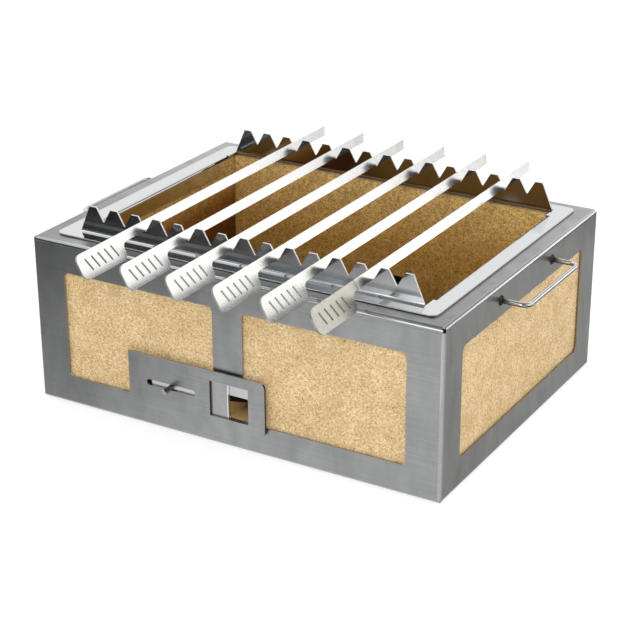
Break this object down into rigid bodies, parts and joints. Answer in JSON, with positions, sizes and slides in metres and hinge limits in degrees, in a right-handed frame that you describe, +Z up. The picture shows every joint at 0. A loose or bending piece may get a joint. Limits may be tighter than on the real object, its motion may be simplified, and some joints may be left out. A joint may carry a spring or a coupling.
{
  "type": "konro grill",
  "caption": "Table-top charcoal grill: a steel casing lined with insulating boards, a toothed frame that carries flat skewers, and two sliding air vents.",
  "frame": {"origin": "middle of the base plate's underside, which is where the grill rests", "axes": "+X to the right side, along the long side of the casing; +Y to the back, away from the skewers' handles and the vent that stands open; +Z up"},
  "size_m": [0.515, 0.46, 0.2055],
  "materials": {
    "brushed_stainless": "satin",
    "polished_stainless": "polished",
    "skewer_stainless": "satin",
    "grate_steel": "matte",
    "vermiculite_board": "matte"
  },
  "bodies": {
    "casing": {"outer_casing": "brushed_stainless", "base_plate": "brushed_stainless", "floor_board": "vermiculite_board", "front_board": "vermiculite_board", "back_board": "vermiculite_board", "left_board": "vermiculite_board", "right_board": "vermiculite_board", "lower_guide_strip": "brushed_stainless", "upper_guide_strip": "brushed_stainless", "vent_cover": "brushed_stainless", "back_lower_guide_strip": "brushed_stainless", "back_upper_guide_strip": "brushed_stainless", "back_vent_cover": "brushed_stainless", "left_handle": "polished_stainless", "right_handle": "polished_stainless"},
    "vent_shutter": {"vent_shutter": "brushed_stainless", "shutter_stud": "polished_stainless"},
    "back_vent_shutter": {"back_vent_shutter": "brushed_stainless", "back_shutter_stud": "polished_stainless"},
    "charcoal_grate": {"grate_frame": "grate_steel", "grate_rods": "grate_steel"},
    "skewer_frame": {"skewer_frame": "polished_stainless"},
    "skewer_1": {"skewer_1": "skewer_stainless"},
    "skewer_2": {"skewer_2": "skewer_stainless"},
    "skewer_3": {"skewer_3": "skewer_stainless"},
    "skewer_4": {"skewer_4": "skewer_stainless"},
    "skewer_5": {"skewer_5": "skewer_stainless"},
    "skewer_6": {"skewer_6": "skewer_stainless"}
  },
  "joints": [
    {"name": "vent_slide", "type": "slide", "parent": "casing", "child": "vent_shutter", "axis": [1, 0, 0], "range_m": [-0.025, 0.025]},
    {"name": "back_vent_slide", "type": "slide", "parent": "casing", "child": "back_vent_shutter", "axis": [1, 0, 0], "range_m": [-0.05, 0]},
    {"name": "grate_lift", "type": "slide", "parent": "casing", "child": "charcoal_grate", "axis": [0, 0, 1], "range_m": [0, 0.1]},
    {"name": "frame_lift", "type": "slide", "parent": "casing", "child": "skewer_frame", "axis": [0, 0, 1], "range_m": [0, 0.05]},
    {"name": "skewer_1_lift", "type": "slide", "parent": "skewer_frame", "child": "skewer_1", "axis": [0, 0, 1], "range_m": [0, 0.04]},
    {"name": "skewer_2_lift", "type": "slide", "parent": "skewer_frame", "child": "skewer_2", "axis": [0, 0, 1], "range_m": [0, 0.04]},
    {"name": "skewer_3_lift", "type": "slide", "parent": "skewer_frame", "child": "skewer_3", "axis": [0, 0, 1], "range_m": [0, 0.04]},
    {"name": "skewer_4_lift", "type": "slide", "parent": "skewer_frame", "child": "skewer_4", "axis": [0, 0, 1], "range_m": [0, 0.04]},
    {"name": "skewer_5_lift", "type": "slide", "parent": "skewer_frame", "child": "skewer_5", "axis": [0, 0, 1], "range_m": [0, 0.04]},
    {"name": "skewer_6_lift", "type": "slide", "parent": "skewer_frame", "child": "skewer_6", "axis": [0, 0, 1], "range_m": [0, 0.04]}
  ]
}
